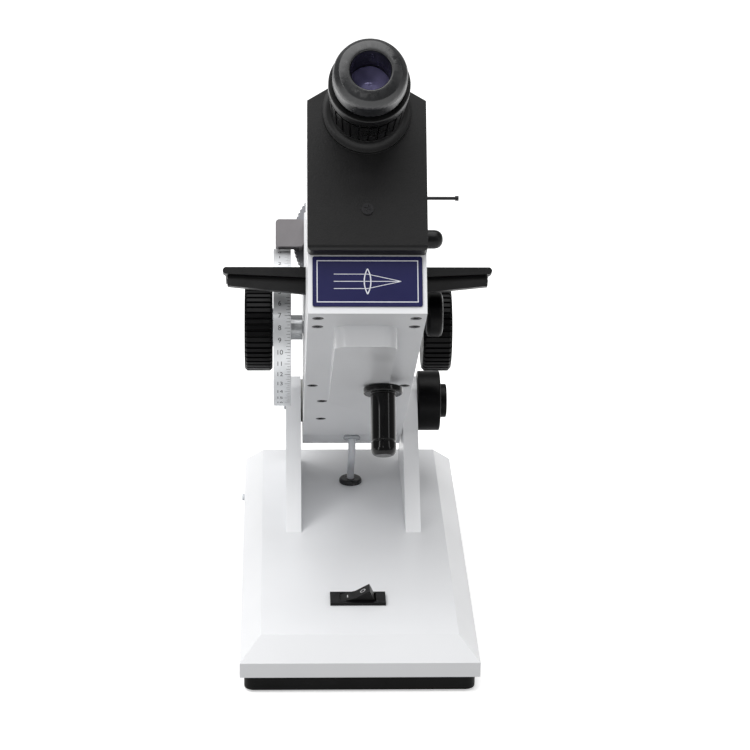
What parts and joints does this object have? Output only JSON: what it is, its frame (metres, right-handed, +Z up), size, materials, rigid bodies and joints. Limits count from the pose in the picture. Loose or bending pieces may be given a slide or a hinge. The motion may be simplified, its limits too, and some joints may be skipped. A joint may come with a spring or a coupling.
{
  "type": "lensmeter",
  "caption": "Bench lensmeter: tilting optical head with eyepiece, power wheels and scale drum, axis wheel, spectacle table and lens clamp, on a wide flat base.",
  "frame": {"origin": "centre of the object's footprint box, on the surface it stands on", "axes": "+Z up; -Y towards the user's eye; +X to the user's right"},
  "size_m": [0.162, 0.3692, 0.3953],
  "materials": {
    "tray": "moulded, fine texture",
    "rubber": "matte",
    "white_paint": "smooth white enamel",
    "steel": "turned",
    "black_plastic": "satin moulded",
    "transformer": "varnished laminations",
    "clear_plastic": "translucent white",
    "cable_sheath": "soft pale PVC",
    "cover_black": "fine crackle, semi-matte",
    "plate_navy": "printed plate with a white line",
    "hood_gray": "satin",
    "housing_black": "matte",
    "ceramic": "glazed ceramic",
    "lamp_glass": "frosted",
    "optical_glass": "polished",
    "coated_glass": "polished, violet coating",
    "reticle_glass": "polished",
    "target_glass": "polished, green",
    "black_metal": "black anodised",
    "black_gloss": "polished",
    "black_rubber": "satin",
    "brass": "turned",
    "drum_silver": "satin with printed scale",
    "screw_black": "blackened",
    "knob_gray": "satin moulded",
    "wheel_metal": "satin, finely milled rim",
    "nylon": "moulded nylon"
  },
  "bodies": {
    "stand": {"base_tray": "tray", "rubber_feet": "rubber", "base_shell": "white_paint", "left_upright": "white_paint", "right_upright": "white_paint", "upright_screws": "steel", "switch_housing": "black_plastic", "power_transformer": "transformer", "power_inlet": "black_plastic", "fuse_holder": "clear_plastic", "cable_grommet": "black_rubber", "pivot_shaft": "steel", "lamp_cable": "cable_sheath"},
    "rocker": {"switch_rocker": "black_plastic"},
    "tilt_lock": {"pivot_knob": "knob_gray"},
    "optical_head": {"main_casting": "white_paint", "bottom_cover": "white_paint", "housing_screws": "screw_black", "telescope_housing": "white_paint", "head_cover": "cover_black", "name_plate": "plate_navy", "collimator_housing": "white_paint", "nose_bracket": "white_paint", "index_hood": "hood_gray", "lamp_housing": "housing_black", "lamp_holder": "ceramic", "lamp": "lamp_glass", "lamp_lead": "cable_sheath", "condenser_lens": "optical_glass", "collimator_lens": "optical_glass", "lens_stop": "black_metal", "telescope_tube": "black_metal", "objective_lens": "optical_glass", "reticle_disc": "reticle_glass", "pivot_bushes": "nylon", "tilt_handle": "black_gloss", "cable_bush": "clear_plastic"},
    "eyepiece": {"eyecup": "black_rubber", "eyepiece_barrel": "black_metal", "eye_lenses": "coated_glass"},
    "diopter_adjuster": {"diopter_ring": "black_metal"},
    "power_drive": {"left_wheel": "knob_gray", "right_wheel": "knob_gray", "scale_drum": "drum_silver", "power_shaft": "steel", "focus_pinion": "brass"},
    "focus_slide": {"focus_rack": "steel"},
    "axis_drive": {"axis_wheel": "wheel_metal"},
    "target": {"target_cell": "steel", "target_disc": "target_glass"},
    "spectacle_table": {"frame_table": "black_plastic", "table_rack": "steel"},
    "table_lift": {"table_knob": "knob_gray", "table_shaft": "steel"},
    "lens_clamp": {"clamp_plate": "black_metal", "clamp_pins": "black_rubber", "clamp_rod": "steel", "release_rod": "screw_black"},
    "clamp_lock": {"clamp_knob": "black_plastic"}
  },
  "joints": [
    {"name": "head_tilt", "type": "hinge", "parent": "stand", "child": "optical_head", "pos_m": [0, 0.09125, 0.087], "axis": [1, 0, 0], "range_deg": [-50, 26], "deforming": ["lamp_cable"]},
    {"name": "tilt_lock_turn", "type": "hinge", "parent": "stand", "child": "tilt_lock", "pos_m": [0.05, 0.09125, 0.087], "axis": [1, 0, 0], "range_deg": [-90, 0]},
    {"name": "power_switch_rock", "type": "hinge", "parent": "stand", "child": "rocker", "pos_m": [0, -0.08886, 0.033], "axis": [0, 1, 0], "range_deg": [0, 44]},
    {"name": "diopter_turn", "type": "hinge", "parent": "optical_head", "child": "diopter_adjuster", "pos_m": [0, -0.14209, 0.35789], "axis": [0, 0.809, -0.5878], "range_deg": [-150, 150]},
    {"name": "eyepiece_focus", "type": "slide", "parent": "optical_head", "child": "eyepiece", "axis": [0, 0.809, -0.5878], "range_m": [-0.00196, 0.00196]},
    {"name": "power_turn", "type": "hinge", "parent": "optical_head", "child": "power_drive", "pos_m": [0, 0.046, 0.15572], "axis": [1, 0, 0], "range_deg": [-150, 150]},
    {"name": "target_focus", "type": "slide", "parent": "axis_drive", "child": "target", "axis": [0, 0.809, -0.5878], "range_m": [-0.016, 0.016]},
    {"name": "rack_travel", "type": "slide", "parent": "optical_head", "child": "focus_slide", "axis": [0, 0.809, -0.5878], "range_m": [-0.0157, 0.0157]},
    {"name": "axis_turn", "type": "hinge", "parent": "optical_head", "child": "axis_drive", "pos_m": [0, 0.0642, 0.208], "axis": [0, 0.809, -0.5878], "continuous": true},
    {"name": "table_turn", "type": "hinge", "parent": "optical_head", "child": "table_lift", "pos_m": [0, 0.00985, 0.17827], "axis": [1, 0, 0], "range_deg": [-114, 57]},
    {"name": "table_travel", "type": "slide", "parent": "optical_head", "child": "spectacle_table", "axis": [0, 0.5878, 0.809], "range_m": [-0.0059, 0.0119]},
    {"name": "clamp_lock_turn", "type": "hinge", "parent": "optical_head", "child": "clamp_lock", "pos_m": [0.037, -0.09404, 0.26241], "axis": [1, 0, 0], "range_deg": [-90, 0]},
    {"name": "lens_clamp_travel", "type": "slide", "parent": "optical_head", "child": "lens_clamp", "axis": [0, 0.809, -0.5878], "range_m": [-0.022, 0], "stiffness_N_per_m": 60, "springref_m": 0.03}
  ],
  "couplings": [
    {"joint": "power_turn", "follows": "rack_travel", "rad_per_m": -166.67},
    {"joint": "target_focus", "follows": "rack_travel", "ratio": 1},
    {"joint": "diopter_turn", "follows": "eyepiece_focus", "rad_per_m": 1333.3},
    {"joint": "table_turn", "follows": "table_travel", "rad_per_m": -166.67}
  ]
}
